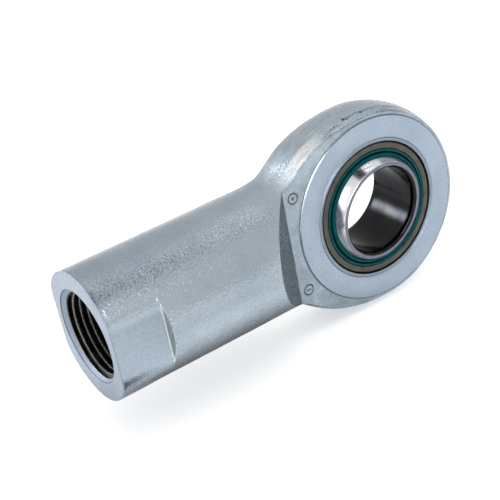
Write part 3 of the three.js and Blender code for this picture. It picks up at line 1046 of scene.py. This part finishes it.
def ground_steel():
    """Ground faces and chamfers of the ball ring."""
    p = Paint("ground_steel", (0.3, 0.3, 0.36), 0.3, 1.0)
    p.color(p.ramp(p.noise(0.3, 4), [(0.3, (0.14, 0.14, 0.185)), (0.7, (0.2, 0.2, 0.255))]))
    p.roughness(p.ramp(p.noise(1.5, 3), [(0.3, 0.24), (0.7, 0.4)]))
    p.bump(p.turned(5.0), 0.2, 0.02)
    return p.material


def shaded_bore_steel():
    """Ground bore with rings along its length; its colour is painted shade, much darker than the
    ball.
    """
    p = Paint("shaded_bore_steel", (0.04, 0.04, 0.045), 0.2, 1.0)
    rings = p.noise(1.6, 3, 0.5, p.scaled(0.02, 1.0, 0.02))
    p.color(p.ramp(p.noise(0.12, 4), [(0.3, (0.015, 0.017, 0.022)), (0.7, (0.031, 0.03, 0.029))]))
    p.roughness(p.ramp(rings, [(0.3, 0.13), (0.7, 0.22)]))
    p.bump(rings, 0.12, 0.006)
    return p.material


def woven_liner():
    """PTFE fabric of the sliding layer."""
    p = Paint("woven_liner", (0.42, 0.33, 0.18), 0.7, 0.0)
    p.color(p.ramp(p.cells(1.5), [(0.1, (0.3, 0.23, 0.12)), (0.6, (0.5, 0.4, 0.24))]))
    p.roughness(p.ramp(p.noise(1.0, 3), [(0.3, 0.6), (0.7, 0.8)]))
    p.bump(p.cells(1.5), 0.6, 0.08)
    return p.material


# ---- pieces on their bodies --------------------------------------------------


def place(piece, body, node, slot):
    """Sets the body a piece rides on and hides the CAD node it stands for; the slot is not used."""
    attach(piece, body)
    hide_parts(node)


def build_object():
    zinc = [forged_zinc(), machined_zinc(), oily_thread()]
    place(housing(zinc), "housing", "housing", "zinc_plated_steel")
    place(outer_ring(phosphated_steel()), "housing", "outer_ring", "phosphated_steel")
    green = green_seal()
    place(seal("seal_front", -1, green), "housing", "front_seal", "green_seal")
    place(seal("seal_rear", 1, green), "housing", "rear_seal", "green_seal")
    ring = inner_ring(mirror_chrome(), ground_steel(), shaded_bore_steel())
    place(ring, "inner_ring", "inner_ring", "chromed_steel")
    liner = frame["nodes"]["liner"]
    liner.data.materials.clear()
    liner.data.materials.append(woven_liner())


# ---- camera, light and floor -------------------------------------------------

def camera():
    data = bpy.data.cameras.new("camera")
    cam = bpy.data.objects.new("camera", data)
    bpy.context.scene.collection.objects.link(cam)
    level = math.cos(CAMERA_ELEVATION)
    back = Vector((
        math.sin(CAMERA_AZIMUTH) * level,
        -math.cos(CAMERA_AZIMUTH) * level,
        math.sin(CAMERA_ELEVATION),
    ))
    aim = (-back).to_track_quat("-Z", "Y").to_matrix().to_4x4()
    cam.matrix_world = Matrix.Translation(CAMERA_PLACE) @ aim @ Matrix.Rotation(CAMERA_ROLL, 4, "Z")
    data.sensor_width = 36
    data.lens = LENS_MM
    data.shift_x, data.shift_y = SHIFT
    data.clip_start = 0.01
    data.dof.use_dof = False
    bpy.context.scene.camera = cam


def softbox(name, place, target, size, power):
    light = bpy.data.lights.new(name, "AREA")
    light.shape = "RECTANGLE"
    light.size, light.size_y = size
    light.energy = power
    lamp = bpy.data.objects.new(name, light)
    lamp.location = place
    lamp.rotation_euler = (Vector(target) - Vector(place)).to_track_quat("-Z", "Y").to_euler()
    lamp.visible_glossy = False
    bpy.context.scene.collection.objects.link(lamp)


def glow(name, brightness, soft):
    """A glow for a plane of size 1 that fades out over a share of it along its edges."""
    material = bpy.data.materials.new(name)
    material.use_nodes = True
    nodes, links = material.node_tree.nodes, material.node_tree.links
    across = nodes.new("ShaderNodeSeparateXYZ")
    links.new(nodes.new("ShaderNodeTexCoord").outputs["Object"], across.inputs[0])
    both = nodes.new("ShaderNodeMath")
    both.operation = "MULTIPLY"
    for axis, share in zip("XY", both.inputs):
        side = nodes.new("ShaderNodeMath")
        side.operation = "ABSOLUTE"
        links.new(across.outputs[axis], side.inputs[0])
        fade = nodes.new("ShaderNodeMapRange")
        fade.interpolation_type = "SMOOTHSTEP"
        fade.inputs["From Min"].default_value = 0.5  # the edge of the plane
        fade.inputs["From Max"].default_value = 0.5 - soft
        links.new(side.outputs[0], fade.inputs["Value"])
        links.new(fade.outputs[0], share)
    light = nodes.new("ShaderNodeEmission")
    light.inputs["Strength"].default_value = brightness
    lit = nodes.new("ShaderNodeMixShader")
    links.new(both.outputs[0], lit.inputs[0])
    links.new(nodes.new("ShaderNodeBsdfTransparent").outputs[0], lit.inputs[1])
    links.new(light.outputs[0], lit.inputs[2])
    links.new(lit.outputs[0], nodes["Material Output"].inputs["Surface"])
    return material


def card(name, place, size, brightness, turn=(0, 0, 0), soft=0.1):
    """A glowing card that only reflections see."""
    bpy.ops.mesh.primitive_plane_add(size=1, location=place, rotation=turn)
    piece = bpy.context.object
    piece.name = name
    piece.scale = (*size, 1)
    piece.data.materials.append(glow(name, brightness, soft))
    piece.visible_camera = False
    piece.visible_diffuse = False
    piece.visible_shadow = False


def card_facing(name, place, size, brightness, along=(0, 0, 1), soft=0.1):
    """A card turned towards the object, its first side laid as near as it goes to a line."""
    facing = -Vector(place).normalized()
    across = facing.cross(Vector(along)).normalized()
    turn = Matrix((across.cross(facing), across, facing)).transposed()
    card(name, place, size, brightness, turn.to_euler(), soft)


def sky():
    """Even white light all round, with a dim patch high behind the object."""
    world = bpy.data.worlds.new("studio")
    bpy.context.scene.world = world
    world.use_nodes = True
    nodes, links = world.node_tree.nodes, world.node_tree.links
    place = nodes.new("ShaderNodeTexCoord")
    along = nodes.new("ShaderNodeVectorMath")
    along.operation = "DOT_PRODUCT"
    along.inputs[1].default_value = SKY_DIM_TOWARDS
    links.new(place.outputs["Generated"], along.inputs[0])
    fade = nodes.new("ShaderNodeMapRange")
    fade.interpolation_type = "SMOOTHSTEP"
    fade.inputs["From Min"].default_value, fade.inputs["From Max"].default_value = SKY_FADE
    fade.inputs["To Min"].default_value = SKY_BRIGHT
    fade.inputs["To Max"].default_value = SKY_DIM
    links.new(along.outputs["Value"], fade.inputs["Value"])
    links.new(fade.outputs[0], nodes["Background"].inputs["Strength"])
    nodes["Background"].inputs["Color"].default_value = (1, 1, 1, 1)


def paper_floor(height):
    bpy.ops.mesh.primitive_plane_add(size=6, location=(0, 0, height))
    floor = bpy.context.object
    floor.name = "floor"
    paper = Paint("paper", (0.95, 0.95, 0.95), 0.9, 0.0, 0.0)
    paper.color(paper.ramp(paper.noise(0.01, 2), [(0.3, 0.94), (0.7, 0.96)]))
    paper.shader.inputs["Emission Color"].default_value = (1, 1, 1, 1)
    paper.shader.inputs["Emission Strength"].default_value = 0.4
    floor.data.materials.append(paper.material)


def cards(low):
    """The cards that shape the reflections in the metal, those on the floor at height low."""
    card("card_under", (-0.08, 0.01, low), (0.21, 0.12), 0.2, soft=0.4)
    card("card_before", (-0.055, -0.14, low), (0.18, 0.16), 0.78, soft=0.4)
    card("card_left", (-0.165, -0.066, low), (0.11, 0.035), 0.05, (0, 0, math.radians(30)))
    card("card_back", (-0.06, 0.16, low), (0.18, 0.09), 0.08)
    card("card_dark", (0.185, -0.03, 0.6), (0.19, 0.3), 0.3, soft=0.2)
    card("card_patch", (-0.03, -0.12, 0.59), (0.27, 0.3), 0.01, soft=0.2)
    for y in (-0.13, -0.05, 0.02, 0.08):
        card("card_spark", (0.16, y, 0.595), (0.22, 0.016), 4.0)
    card_facing("card_front", (0.28, -0.6, 0.03), (0.22, 0.5), 0.66, soft=0.3)
    card_facing("card_right", (0.49, 0.06, 0.34), (0.3, 0.3), 0.3)
    card_facing("card_left_high", (-0.48, -0.07, 0.3), (0.5, 0.32), 1.5)
    card_facing("card_key", (-0.36, -0.48, 0.41), (0.6, 0.12), 9.0, (0.74, 0, 0.67))
    card_facing("card_streak", (-0.335, 0.285, 0.22), (0.24, 0.24), 20.0, soft=0.5)


def studio():
    sky()
    bpy.context.scene.view_settings.view_transform = "Standard"
    floor_height = (housing_low.z - FLOOR_GAP) * MM
    paper_floor(floor_height)
    cards(floor_height + CARD_LIFT)
    softbox("overhead", (0.1, -0.1, 0.9), (0, 0, 0), (0.8, 0.8), 2.0)


build_object()
camera()
studio()
